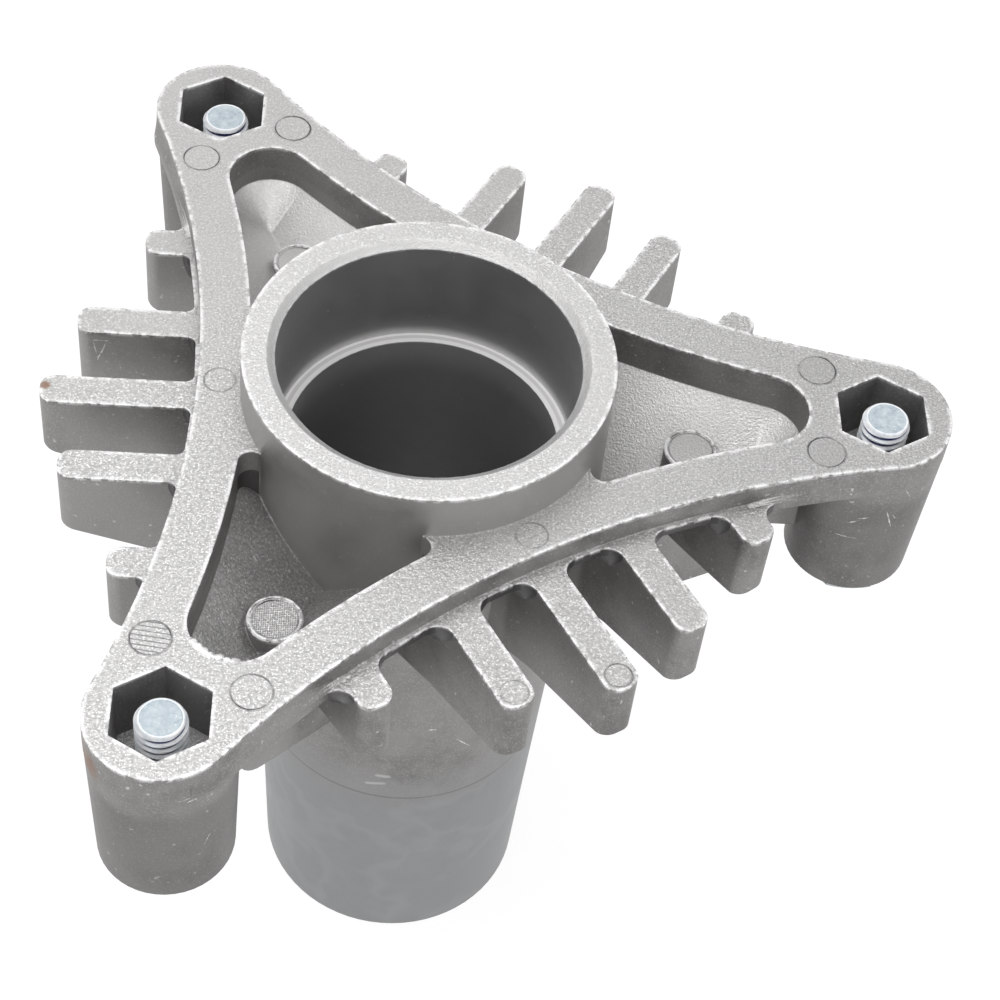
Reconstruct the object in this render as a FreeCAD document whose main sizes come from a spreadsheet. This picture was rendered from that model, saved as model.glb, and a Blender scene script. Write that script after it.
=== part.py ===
import FreeCAD, Part
import math
import os
import re
import Sketcher

# Spindle housing of a garden machine: one die-cast part and its three mounting screws.
# Frame: origin at the centre of the tube's foot, +Z up the spindle axis, millimetres.
# The arms point at 0, 120 and 240 degrees, and the finned sides face 60, 180 and 300 degrees.
# Depths are measured down from the rim's top face, where nothing else is said.

ARMS = 3
TURN = 360
ARM_TURNS = [TURN // ARMS * k for k in range(ARMS)]
SIDE_TURNS = [turn + TURN // ARMS // 2 for turn in ARM_TURNS]
FLATS = 6
UP = FreeCAD.Vector(0, 0, 1)
ORIGIN = (-1, 1)

DRIVING = [
    ("rim_height", 124.0, "foot to the rim's top face"),
    ("hub_rise", 8.2, "hub ring above the rim"),
    ("flange", 3.9, "depth of the parting plane"),
    ("ledge_thick", 1.6, "thin ledge under the parting plane"),
    ("ledge_out", 0.8, "ledge beyond the rim's edge"),
    ("bolt_rad", 71.5, "screw circle radius"),
    ("post_rad", 11.0, "post radius at the rim"),
    ("post_end_rad", 10.2, "post radius at its end"),
    ("post_deep", 31.7, "depth of the post's end"),
    ("waist", 35.3, "axis to the middle of a side"),
    ("hub_rad", 28.7, "hub ring's outer radius"),
    ("neck_rad", 27.7, "tube radius at the neck"),
    ("neck_deep", 20.0, "depth where the tube's straight neck ends"),
    ("foot_rad", 23.6, "tube radius at the foot"),
    ("tube_bow", 6500.0, "curve of the tube's gently flared side"),
    ("seat_rad", 23.5, "upper bearing seat"),
    ("seat_deep", 12.2, "depth of the upper bearing's shoulder"),
    ("mouth_wide", 1.3, "bevel of the bore's mouth across the face"),
    ("mouth_deep", 1.0, "bevel of the bore's mouth along the axis"),
    ("core_rad", 21.6, "passage between the bearing seats"),
    ("stop_rad", 17.8, "collar above the lower seat"),
    ("stop_long", 5.0, "that collar's length"),
    ("low_seat_rad", 20.0, "lower bearing seat"),
    ("low_seat_up", 16.0, "foot to the lower bearing's shoulder"),
    ("web", 7.9, "rim's face beside a pocket"),
    ("wall", 3.0, "casting wall round a pocket"),
    ("pocket_end", 7.0, "radius of a pocket's outer end"),
    ("pocket_near", 25.0, "axis to a pocket's inner end"),
    ("pocket_wall", 7.3, "depth of a pocket's upright walls"),
    ("pocket_deep", 24.0, "depth that no pocket reaches"),
    ("floor_fall", 0.85, "fall of a pocket's floor per unit of width"),
    ("pad_at", 42.7, "axis to a pocket's round pad"),
    ("pad_rad", 4.25, "round pad"),
    ("pad_deep", 11.0, "depth of the pad's face"),
    ("fin_wide", 5.5, "fin's thickness at the parting plane"),
    ("fin_corner", 2.2, "rounding of a fin's tip"),
    ("fin_near", 20.0, "axis to the fins' inner ends"),
    ("fin_mid_tip", 59.6, "axis to the middle fin's tip"),
    ("fin_side_tip", 55.3, "axis to the second fins' tips"),
    ("fin_end_tip", 46.2, "axis to the outer fins' tips"),
    ("fin_side_at", 14.9, "middle fin to second fin"),
    ("fin_end_at", 33.0, "middle fin to outer fin"),
    ("fin_tip_deep", 13.2, "depth of the lower edges one thickness beyond the tips"),
    ("fin_mid_rad", 39.5, "axis to the bend in the fins' lower edges"),
    ("fin_mid_deep", 22.3, "depth at that bend"),
    ("fin_low_deep", 28.3, "depth of the lower edges at the tube"),
    ("rib_thick", 6.0, "rib under an arm"),
    ("rib_top", 6.0, "depth of the rib's hidden upper edge"),
    ("rib_far", 64.0, "axis to the rib's end inside the post"),
    ("rib_face", 57.6, "axis to the rib's face beside the post"),
    ("rib_notch", 24.8, "depth of the web between rib and post"),
    ("rib_round", 15.9, "round between the rib's face and lower edge"),
    ("rib_fall", 33.3, "angle of the rib's lower edge"),
    ("recess_wide", 13.75, "hexagonal recess across its flats"),
    ("recess_deep", 12.0, "depth of the hexagonal recess"),
    ("screw_rad", 3.95, "screw thread"),
    ("screw_gap", 0.05, "clearance round the screw"),
    ("screw_long", 30.0, "screw under its head"),
    ("head_wide", 12.7, "screw head across its flats"),
    ("head_high", 5.2, "screw head"),
    ("back_off", 1.0, "how far the second arm's screw is backed off"),
]

DERIVED = [
    ("parting", "rim_height - flange", "height of the parting plane"),
    ("hub_top", "rim_height + hub_rise", "height of the hub's top"),
    ("tuck", "waist - post_rad", "inset of a side from a straight rim"),
    ("arc_at", "(bolt_rad ^ 2 - tuck ^ 2) / (bolt_rad - 2 * tuck)", "axis to a side arc's centre"),
    ("arc_rad", "arc_at - waist", "side arc, tangent to two posts"),
    ("edge_rad", "arc_rad - ledge_out", "arc of the ledge's edge"),
    ("far_side", "arc_at * sqrt(3) / 2", "side arc's centre from the nearest arm's axis"),
    ("tip_gap", "arc_rad + web + pocket_end", "side arc's centre to a pocket's outer end"),
    ("tip_at", "arc_at / 2 - sqrt(tip_gap ^ 2 - far_side ^ 2)", "axis to a pocket's outer end"),
    ("post_gap", "arc_rad + post_rad", "side arc's centre to a post"),
    ("slant", "sqrt(1 + floor_fall ^ 2)", "length of the floor's slope per unit of width"),
    ("shell_wall", "pocket_wall + wall * (slant - floor_fall)", "depth of the shell's upright walls"),
    ("shell_deep", "pocket_deep + wall * slant", "depth that the shell does not reach"),
]

doc = FreeCAD.newDocument("SpindleHousing")
sheet = doc.addObject("Spreadsheet::Sheet", "Dims")
NAMES = {alias for alias, _, _ in DRIVING + DERIVED}


def bound(formula):
    """The formula with every size written as a cell of the sheet."""
    return re.sub("[a-z_]+", lambda word: named(word.group(0)), formula)


def named(word):
    return "Dims." + word if word in NAMES else word


def fill_sheet():
    for row, (alias, value, note) in enumerate(DRIVING + DERIVED, start=1):
        given = str(value) if (alias, value, note) in DRIVING else "=" + value
        sheet.set("A%d" % row, note)
        sheet.set("B%d" % row, given)
        sheet.setAlias("B%d" % row, alias)
    doc.recompute()


def size(formula):
    """The present value of a formula of sizes."""
    result = sheet.evalExpression(bound(formula).replace("Dims.", ""))
    return float(getattr(result, "Value", result))


def tie(thing, **formulas):
    """Binds properties of an object to formulas of the sheet's sizes."""
    for name, formula in formulas.items():
        thing.setExpression(name, bound(formula))


def place(thing, reach, turn, height):
    """Puts an object at a distance from the axis, in a direction, at a height."""
    thing.setExpression("Placement.Base.x", bound("(%s) * cos(%d deg)" % (reach, turn)))
    thing.setExpression("Placement.Base.y", bound("(%s) * sin(%d deg)" % (reach, turn)))
    thing.setExpression("Placement.Base.z", bound(height))


def cylinder(name, radius, high, reach="0", turn=0, height="0"):
    piece = doc.addObject("Part::Cylinder", name)
    tie(piece, Radius=radius, Height=high)
    place(piece, reach, turn, height)
    return piece


def cone(name, low, top, high, reach="0", turn=0, height="0"):
    piece = doc.addObject("Part::Cone", name)
    tie(piece, Radius1=low, Radius2=top, Height=high)
    place(piece, reach, turn, height)
    return piece


def prism(name, sides, flat, high, spin, reach="0", turn=0, height="0"):
    """A regular prism whose flats lie at the given distance from its centre."""
    piece = doc.addObject("Part::Prism", name)
    piece.Polygon = sides
    piece.Placement.Rotation = FreeCAD.Rotation(UP, spin)
    tie(piece, Circumradius="(%s) / cos(%g deg)" % (flat, TURN / 2 / sides), Height=high)
    place(piece, reach, turn, height)
    return piece


def fuse(name, pieces):
    whole = doc.addObject("Part::MultiFuse", name)
    whole.Shapes = pieces
    return whole


def cut(name, base, tool):
    whole = doc.addObject("Part::Cut", name)
    whole.Base = base
    whole.Tool = tool
    return whole


def common(name, first, second):
    whole = doc.addObject("Part::MultiCommon", name)
    whole.Shapes = [first, second]
    return whole


def tied(sketch, kind, *places, formula):
    """A sketch constraint with a size, bound to a formula."""
    index = sketch.addConstraint(Sketcher.Constraint(kind, *places, size(formula)))
    sketch.setExpression("Constraints[%d]" % index, bound(formula))


def pin(sketch, edge, end, across, along):
    """Fixes one point of a sketch by formulas for its two coordinates."""
    for kind, formula, on_axis in [("DistanceX", across, on_upright), ("DistanceY", along, on_level)]:
        if formula == "0":
            on_axis(sketch, edge, end)
        else:
            tied(sketch, kind, *ORIGIN, edge, end, formula=formula)


def on_level(sketch, edge, end):
    sketch.addConstraint(Sketcher.Constraint("PointOnObject", edge, end, -1))


def on_upright(sketch, edge, end):
    sketch.addConstraint(Sketcher.Constraint("PointOnObject", edge, end, -2))


def draw(sketch, corners, hollow=None, bow="0"):
    """A closed outline, each corner given by two formulas.

    The edges are straight, but the one numbered hollow curves in with the radius bow.
    """
    points = [FreeCAD.Vector(size(across), size(along), 0) for across, along in corners]
    first = sketch.GeometryCount
    count = len(points)
    for k in range(count):
        if k == hollow:
            sketch.addGeometry(hollow_arc(points[k], points[(k + 1) % count], size(bow)), False)
        else:
            sketch.addGeometry(Part.LineSegment(points[k], points[(k + 1) % count]), False)
    for k in range(count):
        after = (k + 1) % count
        start, end = (2, 1) if k == hollow else (1, 2)
        next_start = 2 if after == hollow else 1
        sketch.addConstraint(Sketcher.Constraint("Coincident", first + k, end, first + after, next_start))
        pin(sketch, first + k, start, *corners[k])
    if hollow is not None:
        tied(sketch, "Radius", first + hollow, formula=bow)


def hollow_arc(low, high, radius):
    """An arc between two points, its centre on the far side from the axis."""
    chord = high - low
    outward = FreeCAD.Vector(chord.y, -chord.x, 0).normalize()
    centre = (low + high) / 2 + outward * math.sqrt(radius ** 2 - chord.Length ** 2 / 4)
    to_high = high - centre
    to_low = low - centre
    start = math.atan2(to_high.y, to_high.x)
    sweep = to_high.getAngle(to_low)
    return Part.ArcOfCircle(Part.Circle(centre, UP, radius), start, start + sweep)


def new_sketch(body, name, role):
    plane = [item for item in body.Origin.OriginFeatures if item.Role == role][0]
    sketch = body.newObject("Sketcher::SketchObject", name)
    sketch.AttachmentSupport = [(plane, "")]
    sketch.MapMode = "FlatFace"
    return sketch


def axis_of(body, role):
    return ([item for item in body.Origin.OriginFeatures if item.Role == role][0], [""])


def turned_body(name, profile, **curve):
    """A body turned about the spindle axis from an outline of radii and heights."""
    body = doc.addObject("PartDesign::Body", name)
    outline = new_sketch(body, name + "_outline", "XZ_Plane")
    draw(outline, profile, **curve)
    turned = body.newObject("PartDesign::Revolution", name + "_turned")
    turned.Profile = outline
    turned.ReferenceAxis = axis_of(body, "Z_Axis")
    turned.Angle = TURN
    body.Tip = turned
    return body


def lobed(name, side, tip, tip_reach, sum_gap, top, wall_deep, low):
    """Three lobes between the side arcs, with round tips and, below their walls, a V floor.

    All heights are depths below the rim. Where low equals wall_deep the floor is flat.
    """
    high = "(%s) - (%s)" % (low, top)
    base_height = "rim_height - (%s)" % low
    disc = cylinder(name + "_disc", "(%s) + (%s)" % (tip_reach, tip), high, height=base_height)
    away = []
    tips = []
    sloping = low != wall_deep
    fall = "((%s) - (%s))" % (low, wall_deep)
    wall_high = "(%s) - (%s)" % (wall_deep, top)
    wall_height = "rim_height - (%s)" % wall_deep
    for turn in SIDE_TURNS:
        spot = dict(reach="arc_at", turn=turn)
        away.append(cylinder("%s_side_%d" % (name, turn), side, wall_high, height=wall_height, **spot))
        if sloping:
            wide = "(%s) + %s / floor_fall" % (side, fall)
            away.append(cone("%s_bank_%d" % (name, turn), wide, side, fall, height=base_height, **spot))
    for turn in ARM_TURNS:
        spot = dict(reach=tip_reach, turn=turn)
        sector = cylinder("%s_beyond_%d" % (name, turn), "bolt_rad", high, height=base_height, **spot)
        opening = "acos((arc_at / 2 - (%s)) / (%s))" % (tip_reach, sum_gap)
        tie(sector, Angle="2 * " + opening)
        sector.Placement.Rotation = FreeCAD.Rotation(UP, turn)
        tie(sector, **{"Placement.Rotation.Angle": "%d deg - %s" % (turn, opening)})
        away.append(sector)
        tips.append(cylinder("%s_tip_%d" % (name, turn), tip, wall_high, height=wall_height, **spot))
        if sloping:
            deep = "(%s) * floor_fall" % tip
            tips.append(cone("%s_dip_%d" % (name, turn), "0", tip, deep,
                             height="rim_height - (%s) - %s" % (wall_deep, deep), **spot))
    return fuse(name, [cut(name + "_sides", disc, fuse(name + "_away", away))] + tips)


def barrel():
    """Outside of the tube and the hub ring, as one turned form; the tube flares gently."""
    return turned_body("barrel", [
        ("0", "0"),
        ("foot_rad", "0"),
        ("neck_rad", "rim_height - neck_deep"),
        ("neck_rad", "parting"),
        ("hub_rad", "parting"),
        ("hub_rad", "hub_top"),
        ("0", "hub_top"),
    ], hollow=1, bow="tube_bow")


def bore():
    """Both bearing seats, the passage between them and the collar above the lower seat."""
    return turned_body("bore", [
        ("0", "0"),
        ("low_seat_rad", "0"),
        ("low_seat_rad", "low_seat_up"),
        ("stop_rad", "low_seat_up"),
        ("stop_rad", "low_seat_up + stop_long"),
        ("core_rad", "low_seat_up + stop_long"),
        ("core_rad", "rim_height - seat_deep"),
        ("seat_rad", "rim_height - seat_deep"),
        ("seat_rad", "hub_top - mouth_deep"),
        ("seat_rad + mouth_wide", "hub_top"),
        ("0", "hub_top"),
    ])


def rim():
    """Flat three-lobed plate above the parting plane, with the thin ledge under it."""
    post = ("post_rad", "bolt_rad", "post_gap")
    plate = lobed("rim_plate", "arc_rad", *post, "0", "flange", "flange")
    ledge_end = "flange + ledge_thick"
    ledge = lobed("ledge", "edge_rad", *post, "flange", ledge_end, ledge_end)
    return [plate, ledge]


def posts():
    """Tapered posts under the arms' tips."""
    pieces = []
    for turn in ARM_TURNS:
        pieces.append(cone("post_%d" % turn, "post_end_rad", "post_rad", "post_deep - flange",
                           "bolt_rad", turn, "rim_height - post_deep"))
    return pieces


def ribs():
    """Deep webs that carry the posts from the tube, one under each arm."""
    body = doc.addObject("PartDesign::Body", "ribs")
    outline = new_sketch(body, "rib_outline", "XZ_Plane")
    bend_x = size("rib_face - rib_round")
    notch_z = size("rim_height - rib_notch")
    lean = math.radians(size("rib_fall"))
    round_size = size("rib_round")
    meet = FreeCAD.Vector(bend_x + round_size * math.sin(lean), notch_z - round_size * math.cos(lean), 0)
    foot = FreeCAD.Vector(0, meet.y - meet.x * math.tan(lean), 0)
    top_z = size("rim_height - rib_top")
    corners = [
        foot,
        FreeCAD.Vector(0, top_z, 0),
        FreeCAD.Vector(size("rib_far"), top_z, 0),
        FreeCAD.Vector(size("rib_far"), notch_z, 0),
        FreeCAD.Vector(size("rib_face"), notch_z, 0),
    ]
    for k in range(4):
        outline.addGeometry(Part.LineSegment(corners[k], corners[k + 1]), False)
    circle = Part.Circle(FreeCAD.Vector(bend_x, notch_z, 0), UP, round_size)
    outline.addGeometry(Part.ArcOfCircle(circle, lean - math.pi / 2, 0), False)
    outline.addGeometry(Part.LineSegment(meet, foot), False)
    arc = 4
    edge = 5
    for k in range(3):
        outline.addConstraint(Sketcher.Constraint("Coincident", k, 2, k + 1, 1))
    outline.addConstraint(Sketcher.Constraint("Coincident", 3, 2, arc, 2))
    outline.addConstraint(Sketcher.Constraint("Tangent", arc, 1, edge, 1))
    outline.addConstraint(Sketcher.Constraint("Coincident", edge, 2, 0, 1))
    on_upright(outline, 0, 1)
    pin(outline, 1, 1, "0", "rim_height - rib_top")
    pin(outline, 2, 1, "rib_far", "rim_height - rib_top")
    pin(outline, 3, 1, "rib_far", "rim_height - rib_notch")
    pin(outline, 3, 2, "rib_face", "rim_height - rib_notch")
    pin(outline, arc, 3, "rib_face - rib_round", "rim_height - rib_notch")
    bend = "(rib_fall * 1 deg)"
    meet_x = "(rib_face - rib_round + rib_round * sin%s)" % bend
    meet_z = "(rim_height - rib_notch - rib_round * cos%s)" % bend
    tied(outline, "DistanceY", *ORIGIN, 0, 1, formula="%s - %s * tan%s" % (meet_z, meet_x, bend))
    rib = body.newObject("PartDesign::Pad", "rib")
    rib.Profile = outline
    rib.SideType = "Symmetric"
    tie(rib, Length="rib_thick")
    around(body, "rib_ring", [rib])
    return body


def around(body, name, features):
    """Repeats features of a body at every arm."""
    ring = body.newObject("PartDesign::PolarPattern", name)
    ring.Originals = features
    ring.Axis = axis_of(body, "Z_Axis")
    ring.Angle = TURN
    ring.Occurrences = ARMS
    body.Tip = ring
    return ring


def tab(sketch, tip, middle, side):
    """Plan of one fin: straight sides along X and a rounded tip."""
    low_y = size("%d * (%s) - fin_wide / 2" % (side, middle))
    high_y = low_y + size("fin_wide")
    near, far, corner = size("fin_near"), size(tip), size("fin_corner")
    first = sketch.GeometryCount
    vector = FreeCAD.Vector
    centre_low = vector(far - corner, low_y + corner, 0)
    centre_high = vector(far - corner, high_y - corner, 0)
    sketch.addGeometry(Part.LineSegment(vector(near, high_y, 0), vector(near, low_y, 0)), False)
    sketch.addGeometry(Part.LineSegment(vector(near, low_y, 0), vector(far - corner, low_y, 0)), False)
    sketch.addGeometry(Part.ArcOfCircle(Part.Circle(centre_low, UP, corner), -math.pi / 2, 0), False)
    end_low, end_high = vector(far, low_y + corner, 0), vector(far, high_y - corner, 0)
    sketch.addGeometry(Part.LineSegment(end_low, end_high), False)
    sketch.addGeometry(Part.ArcOfCircle(Part.Circle(centre_high, UP, corner), 0, math.pi / 2), False)
    sketch.addGeometry(Part.LineSegment(vector(far - corner, high_y, 0), vector(near, high_y, 0)), False)
    inner, lower, arc_low, end, arc_high, upper = range(first, first + 6)
    for one, one_end, other, other_end in [(inner, 2, lower, 1), (upper, 2, inner, 1)]:
        sketch.addConstraint(Sketcher.Constraint("Coincident", one, one_end, other, other_end))
    for one, one_end, other, other_end in [(lower, 2, arc_low, 1), (arc_low, 2, end, 1),
                                           (end, 2, arc_high, 1), (arc_high, 2, upper, 1)]:
        sketch.addConstraint(Sketcher.Constraint("Tangent", one, one_end, other, other_end))
    for edge in (lower, upper):
        sketch.addConstraint(Sketcher.Constraint("Horizontal", edge))
    for edge in (inner, end):
        sketch.addConstraint(Sketcher.Constraint("Vertical", edge))
    sketch.addConstraint(Sketcher.Constraint("Equal", arc_low, arc_high))
    tied(sketch, "Radius", arc_low, formula="fin_corner")
    tied(sketch, "DistanceX", *ORIGIN, inner, 1, formula="fin_near")
    tied(sketch, "DistanceX", *ORIGIN, end, 1, formula=tip)
    tied(sketch, "DistanceY", inner, 2, inner, 1, formula="fin_wide")
    if side >= 0:
        tied(sketch, "DistanceY", *ORIGIN, inner, 1, formula="(%s) + fin_wide / 2" % middle)
    else:
        tied(sketch, "DistanceY", inner, 2, *ORIGIN, formula="(%s) + fin_wide / 2" % middle)


FINS = [
    ("fin_end_tip", "fin_end_at", -1),
    ("fin_side_tip", "fin_side_at", -1),
    ("fin_mid_tip", "0", 0),
    ("fin_side_tip", "fin_side_at", 1),
    ("fin_end_tip", "fin_end_at", 1),
]


def fins():
    """Fifteen cooling fins, five parallel ones to a side, hung from the parting plane."""
    body = doc.addObject("PartDesign::Body", "fins")
    body.AllowCompound = True
    body.Placement.Rotation = FreeCAD.Rotation(UP, SIDE_TURNS[0])
    plan = new_sketch(body, "fin_plan", "XY_Plane")
    tie(plan, **{"AttachmentOffset.Base.z": "parting"})
    for tip, middle, side in FINS:
        tab(plan, tip, middle, side)
    blades = body.newObject("PartDesign::Pad", "fin_set")
    blades.Profile = plan
    blades.Reversed = True
    tie(blades, Length="fin_low_deep - flange + fin_wide")
    around(body, "fin_ring", [blades])
    under = new_sketch(body, "underside", "XZ_Plane")
    below = "rim_height - fin_low_deep - 2 * fin_wide"
    outside = "fin_mid_tip + fin_wide"
    draw(under, [
        ("0", below),
        (outside, below),
        (outside, "rim_height - fin_tip_deep"),
        ("fin_mid_rad", "rim_height - fin_mid_deep"),
        ("neck_rad", "rim_height - fin_low_deep"),
        ("0", "rim_height - fin_low_deep"),
    ])
    trim = body.newObject("PartDesign::Groove", "fin_trim")
    trim.Profile = under
    trim.ReferenceAxis = axis_of(body, "Z_Axis")
    trim.Angle = TURN
    body.Tip = trim
    return body


def troughs():
    """Shell of the three pockets under the rim, and the space that the pockets take."""
    inward = "arc_rad + web"
    outer = ("pocket_end + wall", "tip_at", "tip_gap")
    inner = ("pocket_end", "tip_at", "tip_gap")
    shell_space = lobed("shell_space", inward + " - wall", *outer, "flange", "shell_wall", "shell_deep")
    pocket_space = lobed("pocket_space", inward, *inner, "-hub_rise", "pocket_wall", "pocket_deep")
    shell_stop = prism("shell_stop", ARMS, "pocket_near - wall", "rim_height", TURN / 2 / ARMS)
    shell = cut("shell", shell_space, shell_stop)
    pocket_stop = prism("pocket_stop", ARMS, "pocket_near", "hub_top", TURN / 2 / ARMS)
    drop = "hub_rise + pocket_deep"
    hub_wall = cylinder("hub_wall", "hub_rad", drop, height="rim_height - pocket_deep")
    pockets = cut("pockets", pocket_space, fuse("hub_keep", [pocket_stop, hub_wall]))
    return shell, pockets


def pads(shell):
    """Round pads that stand on the pockets' floors."""
    high = "pocket_deep - pad_deep"
    low = "rim_height - pocket_deep"
    columns = [cylinder("pad_%d" % turn, "pad_rad", high, "pad_at", turn, low) for turn in ARM_TURNS]
    return common("pad_set", fuse("pad_columns", columns), shell)


def screw_seats():
    """Hexagonal recesses in the arms' tips, with the screw holes through the posts."""
    pieces = []
    for turn in ARM_TURNS:
        spot = dict(reach="bolt_rad", turn=turn)
        pieces.append(prism("recess_%d" % turn, FLATS, "recess_wide / 2", "recess_deep", TURN / 2 / FLATS,
                            height="rim_height - recess_deep", **spot))
        pieces.append(cylinder("hole_%d" % turn, "screw_rad + screw_gap", "post_deep",
                               height="rim_height - post_deep", **spot))
    return pieces


def housing():
    """The casting: everything added, less everything cored or drilled, plus the pads."""
    shell, pockets = troughs()
    solid = fuse("raw_casting", [barrel(), fins(), ribs(), shell] + rim() + posts())
    space = fuse("cores", [bore(), pockets] + screw_seats())
    whole = fuse("housing", [cut("cored_casting", solid, space), pads(shell)])
    whole.Refine = True
    return whole


def screw(turn, low):
    """A hexagon head screw that enters its post from below."""
    spot = dict(reach="bolt_rad", turn=turn)
    seat = "rim_height - post_deep - %s" % low
    name = "screw_%d" % turn
    head = prism(name + "_head", FLATS, "head_wide / 2", "head_high", TURN / 2 / FLATS,
                 height="%s - head_high" % seat, **spot)
    shank = cylinder(name + "_shank", "screw_rad", "screw_long", height=seat, **spot)
    return fuse(name, [head, shank])


def mounting_screws():
    """Three loose screws, one in each post; the second one is not quite home."""
    group = doc.addObject("Part::Compound", "mounting_screws")
    lows = ["back_off" if turn == ARM_TURNS[1] else "0 * back_off" for turn in ARM_TURNS]
    group.Links = [screw(turn, low) for turn, low in zip(ARM_TURNS, lows)]
    return group


fill_sheet()
SUB_PARTS = [housing(), mounting_screws()]
for piece in SUB_PARTS:
    piece.Label = piece.Name
doc.recompute()

for item in doc.Objects:
    if "Invalid" in item.State or "Error" in item.State:
        raise RuntimeError("%s did not build: %s" % (item.Name, item.State))

os.makedirs("parts", exist_ok=True)
for piece in SUB_PARTS:
    shape = piece.Shape
    if shape.isNull() or not shape.isValid():
        raise RuntimeError("%s has no valid shape" % piece.Name)
    shape.exportStep("parts/%s.step" % piece.Label)
    print(piece.Label, "solids", len(shape.Solids), "volume", round(shape.Volume, 1))
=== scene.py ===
import math

import bmesh
import bpy
from mathutils import Matrix, Vector, noise


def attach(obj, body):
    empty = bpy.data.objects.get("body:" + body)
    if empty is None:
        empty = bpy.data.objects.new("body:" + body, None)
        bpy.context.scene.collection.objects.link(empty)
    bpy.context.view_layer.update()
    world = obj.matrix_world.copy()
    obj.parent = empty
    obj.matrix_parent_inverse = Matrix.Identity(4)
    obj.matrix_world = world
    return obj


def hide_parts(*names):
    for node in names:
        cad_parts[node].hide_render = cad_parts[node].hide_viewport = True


# Dressed spindle housing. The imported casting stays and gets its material. Small pieces add its
# corner rounds, fillets, ejector marks, flash and scratches, and threaded screws replace the plain
# ones. Sizes are millimetres, and MM turns them to metres.

MM = 0.001

# the casting's own sizes
RIM = 124.0  # height of the rim's upper face
ARMS = (0, 120, 240)
SIDES = (60, 180, 300)
BOLT = 71.5  # radius of the screw circle
POST_RAD = 11.0
PARTING = 120.1  # height of the fins' and the ledge's upper faces
ARC_AT = 197.457  # a side's arc: how far out its middle lies, and its radius
ARC_RAD = 162.157
LEDGE_OUT = 0.8  # how far the ledge stands out from the rim's wall
LEDGE_LOW = 118.4
FIN_HALF = 2.75
FINS = ((-33.0, 46.2), (-14.9, 55.3), (0.0, 59.6), (14.9, 55.3), (33.0, 46.2))  # place beside the middle, tip
FIN_END = 2.5  # from a fin's tip to the middle of its mark
POCKET_NEAR = 25.0  # the pocket's inner wall
WEB = 7.9  # the rim's width between a side and a pocket
PAD = (42.7, 4.25, 113.0)  # the pads' place on an arm, radius and height

# the marks of the ejector pins: place and radius
ARM_MARK = (61.8, 8.5, 2.95)
SIDE_MARK = (31.9, 2.4)
FIN_MARK = 2.0

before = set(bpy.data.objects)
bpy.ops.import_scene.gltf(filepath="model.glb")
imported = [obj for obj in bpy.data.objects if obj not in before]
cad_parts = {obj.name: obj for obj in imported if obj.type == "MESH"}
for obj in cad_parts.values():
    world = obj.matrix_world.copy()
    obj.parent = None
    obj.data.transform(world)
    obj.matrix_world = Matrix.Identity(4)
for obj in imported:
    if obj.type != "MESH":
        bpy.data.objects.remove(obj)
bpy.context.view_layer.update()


# meshes

def circle(count):
    return [(math.cos(2 * math.pi * k / count), math.sin(2 * math.pi * k / count)) for k in range(count)]


def turned(x, y, angle):
    """A point of an arm's or a side's own plan, turned into the world, millimetres."""
    a = math.radians(angle)
    return x * math.cos(a) - y * math.sin(a), x * math.sin(a) + y * math.cos(a)


def mesh_object(name, bm):
    """Turns the mesh into an object in the scene, its faces outwards."""
    mesh = bpy.data.meshes.new(name)
    bmesh.ops.recalc_face_normals(bm, faces=bm.faces[:])
    bm.to_mesh(mesh)
    bm.free()
    piece = bpy.data.objects.new(name, mesh)
    bpy.context.scene.collection.objects.link(piece)
    return piece


def smooth_by_angle(piece, degrees):
    """Shades the piece smooth, apart from its edges sharper than the angle."""
    piece.data.shade_smooth()
    piece.data.set_sharp_from_angle(angle=math.radians(degrees))


# node helpers

def new_material(name):
    material = bpy.data.materials.new(name)
    material.use_nodes = True
    material.node_tree.nodes.clear()
    return material, Nodes(material.node_tree)


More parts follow.
